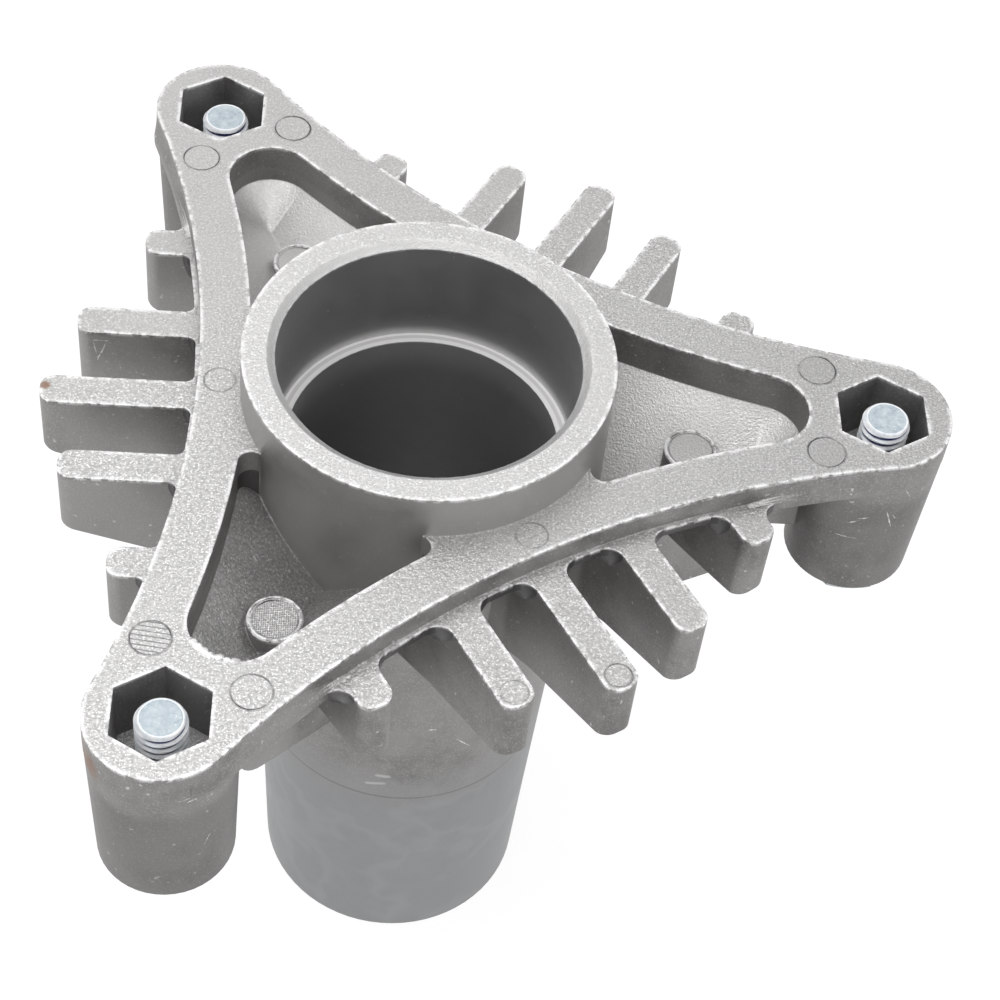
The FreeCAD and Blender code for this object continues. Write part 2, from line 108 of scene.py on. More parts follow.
class Nodes:
    """Short ways to add the shader nodes used here."""

    def __init__(self, tree):
        self.tree = tree

    def add(self, kind, **inputs):
        """A node with its inputs by name, with _ for a space."""
        node = self.tree.nodes.new("ShaderNode" + kind)
        for name, value in inputs.items():
            self.feed(node, name.replace("_", " "), value)
        return node

    def feed(self, node, name, value):
        socket = node.inputs[int(name) if name.isdigit() else name]
        if isinstance(value, bpy.types.NodeSocket):
            self.tree.links.new(value, socket)
        else:
            socket.default_value = value

    def math(self, operation, *values, clamp=False):
        node = self.tree.nodes.new("ShaderNodeMath")
        node.operation = operation
        node.use_clamp = clamp
        for k, value in enumerate(values):
            self.feed(node, str(k), value)
        return node.outputs[0]

    def ramp(self, value, low, high, start=0.0, end=1.0):
        """start below low, end above high, smooth between."""
        node = self.tree.nodes.new("ShaderNodeMapRange")
        node.interpolation_type = "SMOOTHSTEP"
        for k, item in enumerate((value, low, high, start, end)):
            self.feed(node, str(k), item)
        return node.outputs[0]

    def noise(self, place, scale, detail, rough):
        return self.add("TexNoise", Vector=place, Scale=scale, Detail=detail, Roughness=rough).outputs["Fac"]

    def mix(self, share, first, second):
        node = self.tree.nodes.new("ShaderNodeMix")
        node.data_type = "RGBA"
        self.feed(node, "0", share)
        for k, value in ((6, first), (7, second)):
            if isinstance(value, bpy.types.NodeSocket):
                self.tree.links.new(value, node.inputs[k])
            else:
                node.inputs[k].default_value = value
        return node.outputs[2]

    def vector(self, operation, *values):
        node = self.tree.nodes.new("ShaderNodeVectorMath")
        node.operation = operation
        for k, value in enumerate(values):
            self.feed(node, "3" if operation == "SCALE" and k == 1 else str(k), value)
        return node.outputs["Value" if operation in ("DISTANCE", "DOT_PRODUCT", "LENGTH") else "Vector"]

    def both(self, *shares):
        """The product of several masks."""
        result = shares[0]
        for share in shares[1:]:
            result = self.math("MULTIPLY", result, share)
        return result

    def either(self, *shares):
        """The highest of several masks."""
        result = shares[0]
        for share in shares[1:]:
            result = self.math("MAXIMUM", result, share)
        return result

    def near(self, value, middle, half, soft):
        """1 within half of the middle, falling to 0 over soft."""
        gap = self.math("ABSOLUTE", self.math("SUBTRACT", value, middle))
        return self.ramp(gap, half, half + soft, 1.0, 0.0)

    def blend(self, share, first, second):
        """A mix of two numbers."""
        return self.math("ADD", first, self.both(share, self.math("SUBTRACT", second, first)))

    def segment(self, place, start, end):
        """Distance from a line between two points."""
        start, end = Vector(start), Vector(end)
        way = end - start
        offset = self.vector("SUBTRACT", place, tuple(start))
        along = self.vector("DOT_PRODUCT", offset, tuple(way))
        share = self.math("DIVIDE", along, way.length_squared, clamp=True)
        foot = self.vector("SCALE", tuple(way), share)
        return self.vector("DISTANCE", offset, foot)

    def tint(self, grey, warm=0.0):
        """A grey colour, a little warm where warm is above zero and cool below."""
        return (grey * (1 + warm), grey, grey * (1 - warm), 1.0)

    def bump(self, height, distance, strength, normal=None):
        node = self.add("Bump", Height=height, Distance=distance, Strength=strength)
        if normal is not None:
            self.tree.links.new(normal, node.inputs["Normal"])
        return node.outputs["Normal"]


# materials

# pale smears on the tube, each from a point to a point with half its width, millimetres
SMEARS = (
    ((-4.0, -25.4, 53.3), (-2.1, -25.6, 53.4), 0.7),
    ((-5.7, -24.9, 50.2), (-2.8, -25.5, 51.0), 0.6),
)
# brown stains, each a middle, a radius and a share
STAINS = (((-45.9, -66.2, 119.4), 4.8, 0.9), ((-58.8, 0.6, 120.1), 1.1, 0.8))
RUST = (0.23, 0.12, 0.07, 1)
TOWARD_LEFT = (-0.5, -0.866, 0.0)
TOWARD_BACK = (-0.5, 0.866, 0.0)
TOWARD_FRONT = (0.5, -0.866, 0.0)


def casting_material(name, edge_wear_and_highlight):
    """Die-cast aluminium: grainy on top, smooth on the drawn sides, and lighter on top partly as painted light. The
    second argument is the edges' share of white, both real wear and painted highlight.

    arm_spot folds the three arms, and the two halves of each, onto one plan, and side_spot folds the three sides, so
    that a mark is stated once.
    The attribute "covered" is 1 where a piece's own edges show neither wear nor painted edge highlight and are
    painted with the shadow under the ledge, and 0.5 where they only show neither.
    """
    material, n = new_material(name)
    geometry = n.add("NewGeometry")
    place = geometry.outputs["Position"]
    spot = n.vector("SCALE", place, 1000)
    x, y, z = n.add("SeparateXYZ", Vector=spot).outputs
    normal_z = n.add("SeparateXYZ", Vector=geometry.outputs["True Normal"]).outputs["Z"]
    facing_up = n.ramp(normal_z, 0.35, 0.8)
    upright = n.ramp(normal_z, 0.35, 0.1)
    sloping = n.both(n.ramp(normal_z, 0.3, 0.5), n.ramp(normal_z, 0.95, 0.88))
    radius = n.vector("LENGTH", n.vector("MULTIPLY", spot, (1, 1, 0)))
    turn = n.math("ARCTAN2", y, x)
    arm_turn = n.math("WRAP", turn, math.pi / 3, -math.pi / 3)
    side_turn = n.math("WRAP", n.math("SUBTRACT", turn, math.pi / 3), math.pi / 3, -math.pi / 3)
    arm_spot = n.add("CombineXYZ", X=n.both(radius, n.math("COSINE", arm_turn)),
                     Y=n.math("ABSOLUTE", n.both(radius, n.math("SINE", arm_turn)))).outputs[0]
    side_spot = n.add("CombineXYZ", X=n.both(radius, n.math("COSINE", side_turn)),
                      Y=n.both(radius, n.math("SINE", side_turn))).outputs[0]

    # worn convex edges, white partly as real wear and partly as painted highlight where edges catch the light
    rounded = n.add("Bevel", Radius=0.4 * MM)
    rounded.samples = 2
    within = n.add("AmbientOcclusion", Distance=0.8 * MM)
    within.inside = True
    within.only_local = True
    within.samples = 2
    covered = n.add("Attribute")
    covered.attribute_name = "covered"
    edge_zone = n.either(n.ramp(z, 119.1, 119.4), n.near(z, 112.9, 0.6, 0.2))
    fin_tip = n.both(n.ramp(radius, 53.0, 55.0), n.near(z, 120.1, 0.9, 0.3))
    sharp = n.math("SUBTRACT", within.outputs["AO"], n.both(fin_tip, 0.18))
    edge = n.both(n.ramp(sharp, 0.53, 0.79, 1.0, 0.0), edge_zone, n.ramp(covered.outputs["Fac"], 0.1, 0.3, 1.0, 0.0))

    # textures
    grain = n.noise(place, 3000, 1, 0.6)
    coarse = n.noise(place, 1500, 2, 0.7)
    fine = n.noise(place, 2700, 2, 0.7)
    cloud = n.noise(place, 45, 3, 0.55)
    patch = n.noise(place, 130, 3, 0.65)
    speck = n.noise(place, 950, 1, 0.5)
    crust = n.both(n.ramp(n.vector("DOT_PRODUCT", spot, TOWARD_LEFT), -25.0, 35.0), n.ramp(z, 131.0, 129.0))
    calm = n.ramp(n.vector("DOT_PRODUCT", spot, TOWARD_BACK), 10.0, 45.0)
    pebble = n.blend(crust, fine, coarse)

    # upper faces
    low_tone = n.mix(crust, n.tint(0.34, 0.01), n.tint(0.37, 0.008))
    top = n.mix(n.ramp(pebble, 0.33, 0.67), low_tone, n.tint(0.55, 0.008))
    top = n.mix(n.ramp(grain, 0.56, 0.68, 0.0, 0.75), top, n.tint(0.9, 0.002))
    top = n.mix(n.ramp(patch, 0.35, 0.7, 0.0, 0.25), top, n.tint(0.6, 0.006))
    top = n.mix(n.both(calm, 0.5), top, n.tint(0.45, 0.012))
    # painted shade: upper faces darker towards the right, where less light falls
    top = n.mix(n.ramp(x, -40.0, 80.0, 0.04, 0.4), top, n.tint(0.26, 0.012))
    top = n.mix(n.ramp(z, 130.5, 131.5, 0.0, 0.22), top, n.tint(0.85, 0.004))
    mouth = n.both(n.ramp(radius, 24.85, 24.7), n.ramp(z, 130.8, 131.0))
    top = n.mix(n.both(mouth, 0.75), top, n.tint(0.2, 0.005))
    floor_left = n.both(sloping, crust)
    # painted light: the sloping pocket floors away from the left are made lighter, as where the lamp lights them
    top = n.mix(n.both(sloping, n.math("SUBTRACT", 1.0, crust), 0.4), top, n.tint(0.8, 0.008))
    top = n.mix(n.both(floor_left, 0.18), top, n.tint(0.24, 0.0))
    top = n.mix(n.both(floor_left, n.ramp(speck, 0.7, 0.75, 0.0, 0.8)), top, n.tint(0.85, 0.0))

    # drawn sides
    side = n.mix(n.ramp(patch, 0.3, 0.7), n.tint(0.16, 0.03), n.tint(0.28, 0.02))
    side = n.mix(n.ramp(cloud, 0.35, 0.65, 0.0, 0.5), side, n.tint(0.32, 0.015))
    side = n.mix(n.ramp(grain, 0.5, 0.7, 0.0, 0.35), side, n.tint(0.45, 0.01))
    on_tube = n.both(n.ramp(radius, 29.0, 28.0), n.ramp(z, 105.0, 100.0))
    few_on_tube = n.math("MULTIPLY_ADD", on_tube, -0.85, 1.0)
    side = n.mix(n.both(n.ramp(speck, 0.72, 0.77, 0.0, 0.65), few_on_tube), side, n.tint(0.65, 0.01))
    post = n.both(n.ramp(radius, 57.0, 60.0), n.ramp(z, 116.0, 112.0))
    side = n.mix(n.both(post, 0.42), side, n.tint(0.1, 0.03))
    hub_wall = n.both(n.ramp(radius, 33.0, 31.0), n.ramp(z, 96.0, 102.0))
    side = n.mix(n.both(hub_wall, 0.7), side, n.tint(0.42, 0.02))
    # painted light: the flanks of the fins on the left are made lighter, where more light falls
    fins = n.both(n.ramp(radius, 38.0, 44.0), n.ramp(radius, 62.0, 60.0), n.ramp(z, 120.0, 119.0),
                  n.ramp(x, 0.0, -30.0))
    side = n.mix(n.both(fins, 0.35), side, n.tint(0.42, 0.015))
    # painted shade: the ledge's narrow front face is darkened like the shaded wall below it
    ledge = n.both(n.near(n.vector("DISTANCE", side_spot, (ARC_AT, 0, 0)), ARC_RAD - LEDGE_OUT, 0.25, 0.2),
                   n.near(z, 119.1, 0.7, 0.15), n.near(side_turn, 0.0, 0.7, 0.05))
    side = n.mix(n.both(ledge, 0.8), side, n.tint(0.05, 0.01))
    # painted shadow: the low parts of the fillets and corners under the ledge are darkened
    under = n.both(n.ramp(covered.outputs["Fac"], 0.7, 0.9), n.ramp(z, 120.0, 119.6))
    side = n.mix(n.both(under, 0.75), side, n.tint(0.06, 0.01))
    # upper faces take the lighter colour: partly their grainy cast finish, partly painted light on faces turned up to
    # the lamp
    colour = n.mix(facing_up, side, top)

    # the turned or ground foot of the tube
    low_tube = n.both(n.ramp(z, 38.0, 60.0, 1.0, 0.0), upright)
    wisp = n.math("ABSOLUTE", n.math("SUBTRACT", cloud, 0.5))
    tube = n.mix(n.ramp(patch, 0.3, 0.7), n.tint(0.265, -0.02), n.tint(0.31, -0.015))
    tube = n.mix(n.ramp(wisp, 0.06, 0.0, 0.0, 0.1), tube, n.tint(0.5, -0.02))
    colour = n.mix(low_tube, colour, tube)
    colour = n.mix(n.both(on_tube, n.near(z, 46.5, 0.12, 0.15), n.ramp(cloud, 0.4, 0.55, 0.0, 0.6)), colour,
                   n.tint(0.13, 0.0))

    # the bore: painted light on its wall near the seat, painted shade deeper down, and a painted highlight on the
    # seat's shoulder
    inner = n.ramp(radius, 23.53, 23.62, 1.0, 0.0)
    seat_painted_light = n.mix(n.ramp(z, 114.0, 111.9), n.tint(0.28, 0.0), n.tint(0.58, 0.005))
    passage_painted_shade = n.mix(n.ramp(z, 111.5, 104.0), n.tint(0.46, 0.0), n.tint(0.3, 0.0))
    bore = n.mix(n.ramp(z, 111.6, 111.75), passage_painted_shade, seat_painted_light)
    bore = n.mix(n.ramp(speck, 0.76, 0.8, 0.0, 0.35), bore, n.tint(0.7, 0.01))
    colour = n.mix(n.both(inner, upright), colour, bore)
    shoulder_painted_highlight = n.mix(n.near(radius, 22.7, 0.25, 0.15), n.tint(0.98, 0.004), n.tint(0.75, 0.01))
    shoulder = n.both(n.ramp(radius, 23.45, 23.55, 1.0, 0.0), n.near(z, 111.8, 0.2, 0.1), facing_up)
    colour = n.mix(shoulder, colour, shoulder_painted_highlight)

    # marks of the ejector pins, and the groove round a pad's face, their thin outlines darkened as painted shade of a
    # groove
    outline = []
    for where, middle, size, level in ((arm_spot, ARM_MARK[:2], ARM_MARK[2], RIM),
                                       (side_spot, (SIDE_MARK[0], 0.0), SIDE_MARK[1], RIM),
                                       (side_spot, (FINS[2][1] - FIN_END, 0.0), FIN_MARK, PARTING),
                                       (side_spot, (FINS[1][1] - FIN_END, FINS[1][0]), FIN_MARK, PARTING),
                                       (arm_spot, (PAD[0], 0.0), PAD[1] - 0.75, PAD[2])):
        gap = n.vector("DISTANCE", where, (*middle, 0.0))
        outline.append(n.both(n.near(gap, size, 0.08, 0.12), n.near(z, level, 0.15, 0.05)))
    front = n.ramp(n.vector("DOT_PRODUCT", spot, TOWARD_FRONT), 10.0, 20.0)
    outline[1] = n.both(outline[1], 0.5)
    outline[2] = n.both(outline[2], front)
    outline[3] = n.both(outline[3], front, 0.5)
    faded = n.ramp(n.noise(place, 220, 1, 0.5), 0.35, 0.62, 0.35, 0.95)
    groove_painted_shade = n.both(n.either(*outline), faded)
    colour = n.mix(n.both(groove_painted_shade, facing_up), colour, n.tint(0.05, 0.0))
    mark_gap = n.vector("DISTANCE", arm_spot, (*ARM_MARK[:2], 0.0))
    pressed = n.both(n.ramp(mark_gap, ARM_MARK[2], ARM_MARK[2] - 0.15), n.near(z, RIM, 0.15, 0.05))
    stripes = n.math("SINE", n.math("MULTIPLY", n.vector("DOT_PRODUCT", spot, (0.13, 0.99, 0.0)), 7.6))
    striped = n.both(pressed, n.ramp(n.vector("DISTANCE", spot, (-38.3, -49.3, RIM)), 3.2, 3.0))
    colour = n.mix(n.both(striped, n.ramp(stripes, 0.45, 0.9, 0.0, 0.65)), colour, n.tint(0.12, 0.0))
    colour = n.mix(n.both(pressed, n.ramp(x, -20.0, 20.0), 0.35), colour, n.tint(0.3, 0.01))
    pad_gap = n.vector("DISTANCE", arm_spot, (PAD[0], 0.0, 0.0))
    pad_face = n.both(n.ramp(pad_gap, PAD[1] - 0.75, PAD[1] - 0.9), n.near(z, PAD[2], 0.15, 0.05), facing_up)
    knurl = n.both(n.math("SINE", n.math("MULTIPLY", n.math("ADD", x, y), 9.5)),
                   n.math("SINE", n.math("MULTIPLY", n.math("SUBTRACT", x, y), 9.5)))
    colour = n.mix(n.both(pad_face, crust, n.ramp(knurl, 0.05, 0.4, 0.0, 0.7)), colour, n.tint(0.1, 0.01))
    colour = n.mix(n.both(pad_face, n.math("SUBTRACT", 1.0, crust), 0.6), colour, n.tint(0.5, 0.008))

    # the crease where a pocket's floor meets the hub
    hub_edge = n.math("SUBTRACT", radius, n.math("MULTIPLY_ADD", z, 0.0355, 24.0))
    crease = n.both(sloping, n.ramp(hub_edge, 0.45, 0.25), n.ramp(hub_edge, -0.5, -0.3))
    ragged = n.ramp(n.noise(place, 600, 2, 0.7), 0.38, 0.56)
    colour = n.mix(n.both(crease, ragged, 0.9), colour, n.tint(0.95, 0.0))

    # wear and dirt, with the edges' white partly painted highlight
    colour = n.mix(n.both(edge, ragged, edge_wear_and_highlight), colour, n.tint(0.97, 0.002))
    for start, end, half in SMEARS:
        smear = n.ramp(n.segment(spot, start, end), half, half * 0.2, 0.0, 0.4)
        colour = n.mix(smear, colour, n.tint(0.75, 0.0))
    for middle, size, share in STAINS:
        gap = n.vector("DISTANCE", spot, middle)
        colour = n.mix(n.both(n.ramp(gap, size, size * 0.4), n.ramp(patch, 0.25, 0.5), share), colour, RUST)

    # gloss and relief
    rough = n.ramp(patch, 0.3, 0.7, 0.42, 0.55)
    soft = n.bump(grain, 0.06 * MM, 0.45, rounded.outputs[0])
    strong = n.both(facing_up, n.math("MULTIPLY_ADD", calm, -0.45, 0.75), n.math("MULTIPLY_ADD", crust, -0.45, 1.0),
                    n.math("MULTIPLY_ADD", shoulder, -0.9, 1.0))
    normal = n.bump(pebble, 0.16 * MM, n.math("ADD", strong, 0.1), soft)
    metal = n.math("MULTIPLY_ADD", n.either(shoulder, n.both(inner, 0.3)), -0.7, 0.8)
    shader = n.add("BsdfPrincipled", Base_Color=colour, Metallic=metal, Roughness=rough, Normal=normal)
    n.add("OutputMaterial", Surface=shader.outputs[0])
    return material


def screw_material():
    """Bluish zinc plating, pale on the dished tip, with painted shade in dark blue on the thread's roots and lower
    flanks.
    """
    material, n = new_material("zinc_plating")
    place = n.add("NewGeometry").outputs["Position"]
    patch = n.noise(place, 700, 4, 0.6)
    fine = n.noise(place, 2600, 3, 0.6)
    colour = n.mix(n.ramp(patch, 0.35, 0.65), (0.8, 0.85, 0.9, 1), (0.97, 0.98, 1.0, 1))
    tip = n.add("Attribute")
    tip.attribute_name = "tip_disc"
    disc = n.mix(n.ramp(patch, 0.35, 0.65), (0.42, 0.49, 0.54, 1), (0.55, 0.62, 0.66, 1))
    disc = n.mix(n.ramp(fine, 0.6, 0.68, 0.0, 0.5), disc, (0.9, 0.92, 0.95, 1))
    colour = n.mix(n.ramp(tip.outputs["Fac"], 0.4, 0.6), colour, disc)
    head = n.ramp(n.add("SeparateXYZ", Vector=place).outputs["Z"], 0.094, 0.093)
    colour = n.mix(n.both(head, 0.8), colour, (0.42, 0.45, 0.48, 1))
    deep = n.add("Attribute")
    deep.attribute_name = "thread_depth"
    # painted shade: the thread's roots and lower flanks are dark blue
    colour = n.mix(n.ramp(deep.outputs["Fac"], 0.45, 0.7), colour, (0.006, 0.012, 0.14, 1))
    normal = n.bump(fine, 0.03 * MM, 0.3)
    rough = n.ramp(patch, 0.3, 0.7, 0.26, 0.4)
    shader = n.add("BsdfPrincipled", Base_Color=colour, Metallic=0.12, Roughness=rough, Normal=normal)
    n.add("OutputMaterial", Surface=shader.outputs[0])
    return material


def scratch_material():
    """Bare metal, broken up along the scratch."""
    material, n = new_material("bright_scratches")
    place = n.add("NewGeometry").outputs["Position"]
    colour = n.mix(n.ramp(n.noise(place, 2500, 2, 0.6), 0.4, 0.6), n.tint(0.35, 0.0), n.tint(0.85, 0.0))
    shader = n.add("BsdfPrincipled", Base_Color=colour, Metallic=0.4, Roughness=0.5)
    n.add("OutputMaterial", Surface=shader.outputs[0])
    return material


# the casting's small pieces

def worn_rows(bm, plans, shown):
    """Joins level outlines, top first, each (points, height); wear and painted edge highlight show at the top by the
    shown points.
    """
    covered = bm.verts.layers.float.get("covered") or bm.verts.layers.float.new("covered")
    rows = []
    for k, (points, height) in enumerate(plans):
        row = [bm.verts.new((x * MM, y * MM, height * MM)) for x, y in points]
        for j, vert in enumerate(row):
            vert[covered] = 0.0 if k == 0 and j in shown else 1.0
        rows.append(row)
    wall_rows(bm, rows[::-1])


def wall_rows(bm, rows):
    """Joins closed rows of vertices, lowest first, and caps both ends."""
    count = len(rows[0])
    for low, high in zip(rows, rows[1:]):
        for k in range(count):
            after = (k + 1) % count
            bm.faces.new((low[k], low[after], high[after], high[k]))
    bm.faces.new(rows[-1])
    bm.faces.new(rows[0][::-1])


PROUD = 0.02  # how far a filling stands over the face that it continues
CORNER = 2.1
CORNER_LOW = 114.0
CORNER_STEPS = 8


def corner_rounds():
    """Fillings that round the corners between the pockets' inner and long walls."""
    bm = bmesh.new()
    centre = Vector((ARC_AT / 2, ARC_AT * math.sqrt(3) / 2))
    reach = ARC_RAD + WEB
    x_mid = POCKET_NEAR + CORNER
    middle = Vector((x_mid, centre.y - math.sqrt((reach + CORNER) ** 2 - (centre.x - x_mid) ** 2)))
    touch = centre + (middle - centre).normalized() * reach
    start = math.pi
    end = math.atan2(touch.y - middle.y, touch.x - middle.x)
    angles = [start + (end - start) * k / CORNER_STEPS for k in range(CORNER_STEPS + 1)]
    curve = [(middle.x + CORNER * math.cos(angle), middle.y + CORNER * math.sin(angle)) for angle in angles]
    away = (touch - middle).normalized() * 0.4
    plan = curve + [(touch.x + away.x, touch.y + away.y), (POCKET_NEAR - 0.2, middle.y + 5.2),
                    (POCKET_NEAR - 0.4, middle.y)]
    for arm in ARMS:
        for side in (1, -1):
            points = [turned(x, side * y, arm) for x, y in plan]
            plans = [(points, height) for height in (RIM + PROUD, RIM - 0.5, CORNER_LOW)]
            worn_rows(bm, plans, range(1, CORNER_STEPS))
    return mesh_object("pocket_corners", bm)


SEGMENTS = 48


def ring(bm, x, y, low, high, radius, width, lean=0.0):
    """A closed ring whose section narrows upwards by lean on both sides, millimetres."""
    corners = ((radius, low), (radius + width, low), (radius + width - lean, high), (radius + lean, high))
    rows = [[bm.verts.new(((x + r * c) * MM, (y + r * s) * MM, z * MM)) for r, z in corners]
            for c, s in circle(SEGMENTS)]
    for row, after in zip(rows, rows[1:] + rows[:1]):
        for k in range(4):
            bm.faces.new((row[k], row[(k + 1) % 4], after[(k + 1) % 4], after[k]))


MARK_RING = 0.3


def marks():
    """The rims of the round marks that the ejector pins left on the rim and some fins."""
    bm = bmesh.new()
    reach, aside, radius = ARM_MARK
    for arm in ARMS:
        for side in (-1, 1):
            x, y = turned(reach, side * aside, arm)
            ring(bm, x, y, RIM - 0.1, RIM + 0.07, radius, MARK_RING, 0.1)
    for side in SIDES:
        x, y = turned(SIDE_MARK[0], 0, side)
        ring(bm, x, y, RIM - 0.1, RIM + 0.04, SIDE_MARK[1], MARK_RING, 0.12)
    for v, tip in FINS[1:3]:
        x, y = turned(tip - FIN_END, v, SIDES[2])
        ring(bm, x, y, PARTING - 0.1, PARTING + 0.05, FIN_MARK, MARK_RING * 0.8, 0.1)
    return mesh_object("ejector_marks", bm)


def pad_rings():
    """Thin raised edges round the pads' faces."""
    bm = bmesh.new()
    reach, radius, level = PAD
    for arm in ARMS:
        x, y = turned(reach, 0, arm)
        ring(bm, x, y, level - 0.3, level + 0.22, radius - 0.42, 0.3)
    return mesh_object("pad_rings", bm)


def ledge_edge(v, inset=0.0):
    """How far out the ledge's edge lies on a side, at v beside its middle, millimetres."""
    return ARC_AT - math.sqrt((ARC_RAD - LEDGE_OUT - inset) ** 2 - v * v)


# the fillets' radius on each side, and how deep under the fins' upper faces they keep which share of it
FILLETS = {60: 2.0, 180: 1.3, 300: 2.6}
FILLET_ROWS = ((-PROUD, 1.0), (0.5, 1.0), (1.6, 0.95), (3.2, 0.6), (5.0, 0.1))
FILLET_STEPS = 8


def fillet_outline(v_edge, side, radius):
    """Plan of the round between a fin's flank and the ledge's edge, from the flank inwards."""
    v_mid = v_edge + side * radius
    x_mid = ledge_edge(v_mid, radius)
    out = Vector((x_mid - ARC_AT, v_mid)).normalized() * radius
    start = math.atan2(-side, 0)
    end = math.atan2(out.y, out.x)
    sweep = (end - start + math.pi) % (2 * math.pi) - math.pi
    line = [(x_mid + radius * math.cos(start + sweep * k / FILLET_STEPS),
             v_mid + radius * math.sin(start + sweep * k / FILLET_STEPS)) for k in range(FILLET_STEPS + 1)]
    last = line[-1]
    return line + [(last[0] - 0.5, last[1]), (line[0][0] - radius - 0.5, v_edge - side * 0.5),
                   (line[0][0], v_edge - side * 0.5)]


def fin_fillets():
    """The rounds at the roots of the fins, which fade out down the fins' flanks."""
    bm = bmesh.new()
    for side_turn in SIDES:
        full = FILLETS[side_turn]
        for v, tip in FINS:
            for side in (-1, 1):
                plans = []
                for deep, share in FILLET_ROWS:
                    plan = fillet_outline(v + side * FIN_HALF, side, full * share)
                    plans.append(([turned(x, y, side_turn) for x, y in plan], PARTING - deep))
                worn_rows(bm, plans, range(1, FILLET_STEPS))
    return mesh_object("fin_fillets", bm)


# the ledge's end along the arc, place and rise, and then round the post, degrees and reach
LEDGE_STATIONS = ((34.5, 0.0), (37.0, 0.15), (40.0, 0.6), (43.5, 1.0), (48.0, 1.0), (53.0, 1.0))
POST_STATIONS = ((0, 1.0), (4, 0.9), (10, 0.5), (17, 0.2), (25, 0.02))
# its section: how far out of the rim's wall, height over the fins' upper faces, and what the rise adds
LEDGE_SECTION = ((-0.4, 0.0, 3.1), (0.01, 0.0, 2.9), (0.3, 0.0, 1.7), (0.6, 0.0, 0.8), (0.83, 0.0, 0.06),
                 (0.84, LEDGE_LOW - PARTING, 0.0), (-0.4, LEDGE_LOW - PARTING, 0.0))


def ledge_run(way):
    """The rim's edge beyond an outer fin, on a side's own plan: place, outward direction, rise and reach."""
    centre = Vector((ARC_AT, 0))
    run = []
    for v, rise in LEDGE_STATIONS:
        place = Vector((ARC_AT - math.sqrt(ARC_RAD ** 2 - v * v), way * v))
        run.append((place, (centre - place).normalized(), rise, 1.0))
    post = Vector((BOLT / 2, way * BOLT * math.sqrt(3) / 2))
    start = (centre - post).normalized()
    for degrees, reach in POST_STATIONS:
        out = Matrix.Rotation(math.radians(way * degrees), 2) @ start
        run.append((post + out * POST_RAD, out, 1.0, reach))
    return run


def ledge_ends():
    """Smooth runs that let the ledge fade into the rim's wall beyond the outer fins."""
    bm = bmesh.new()
    covered = bm.verts.layers.float.new("covered")
    for side_turn in SIDES:
        for way in (-1, 1):
            rows = []
            for place, out, rise, reach in ledge_run(way):
                row = []
                for beyond, level, lift in LEDGE_SECTION:
                    spot = place + out * (beyond * reach if beyond > 0 else beyond)
                    row.append(bm.verts.new((*(c * MM for c in turned(*spot, side_turn)),
                                             (PARTING + level + lift * rise) * MM)))
                rows.append(row)
            wall_rows(bm, rows)
    for vert in bm.verts:
        vert[covered] = 0.5
    return mesh_object("ledge_ends", bm)


# scratches, each from a point to a point with half its width, millimetres
SCRATCHES = (
    ((3.4, -26.1, 68.8), (5.3, -25.8, 68.6), 0.18),
    ((8.6, -24.7, 64.7), (11.5, -23.3, 60.4), 0.12),
    ((66.0, -9.1, 105.2), (69.8, -10.5, 105.6), 0.09),
    ((67.7, -9.9, 108.8), (69.4, -10.6, 110.2), 0.12),
    ((69.0, -9.9, 110.4), (70.8, -10.6, 111.3), 0.1),
    ((73.3, -10.4, 112.8), (74.8, -10.1, 108.5), 0.12),
    ((74.4, -10.4, 112.0), (75.2, -10.1, 110.5), 0.1),
    ((74.8, -10.1, 118.6), (76.5, -9.4, 115.5), 0.1),
    ((-28.5, -69.7, 106.1), (-29.5, -70.5, 103.6), 0.1),
    ((-32.7, -72.1, 118.1), (-31.4, -71.2, 118.3), 0.15),
    ((-31.6, -72.1, 117.3), (-30.4, -71.2, 117.6), 0.12),
    ((-52.8, 12.1, 118.3), (-52.0, 12.1, 113.6), 0.1),
    ((-50.4, 12.1, 118.5), (-52.3, 12.1, 113.7), 0.16),
    ((-52.9, 12.1, 118.3), (-50.4, 12.1, 118.3), 0.1),
    ((-0.1, 40.4, 124.0), (-1.2, 36.8, 124.0), 0.15),
)


SCRATCH_STEPS = 10


def scratches(surface):
    """Thin bright burrs laid on the casting's surface."""
    bm = bmesh.new()
    for start, end, half in SCRATCHES:
        start, end = Vector(start) * MM, Vector(end) * MM
        rows = []
        for k in range(SCRATCH_STEPS + 1):
            share = k / SCRATCH_STEPS
            _, place, normal, _ = surface.closest_point_on_mesh(start.lerp(end, share))
            aside = normal.cross(end - start).normalized()
            uneven = 0.75 + 0.5 * noise.noise(place * 3000)
            width = half * MM * (0.15 + math.sin(math.pi * share)) * uneven
            rows.append([bm.verts.new(place + offset) for offset in
                         (aside * width, normal * 0.035 * MM, -aside * width, -normal * 0.1 * MM)])
        wall_rows(bm, rows)
    return mesh_object("scratches", bm)


# lumps of flash at the outer end of the left pocket: middle and half size, millimetres
LUMPS = ((-32.4, -49.4, 0.9), (-31.6, -50.3, 0.8), (-30.7, -51.0, 0.9), (-29.6, -51.6, 0.8),
         (-28.5, -52.1, 0.9), (-27.3, -52.4, 0.7), (-26.2, -52.5, 0.8))


def flash_lumps():
    """A ragged row of flattened lumps, their crowns just over the rim's level."""
    bm = bmesh.new()
    for x, y, size in LUMPS:
        place = Matrix.Translation((x * MM, y * MM, (RIM - 0.42) * MM)) @ Matrix.Diagonal((1, 1, 0.55, 1))
        bmesh.ops.create_icosphere(bm, subdivisions=3, radius=size * MM, matrix=place)
    for vert in bm.verts:
        wave = noise.noise(vert.co * 900)
        vert.co.xy += Vector((vert.normal.x, vert.normal.y)) * wave * 0.25 * MM
    return mesh_object("flash_lumps", bm)


# the screws

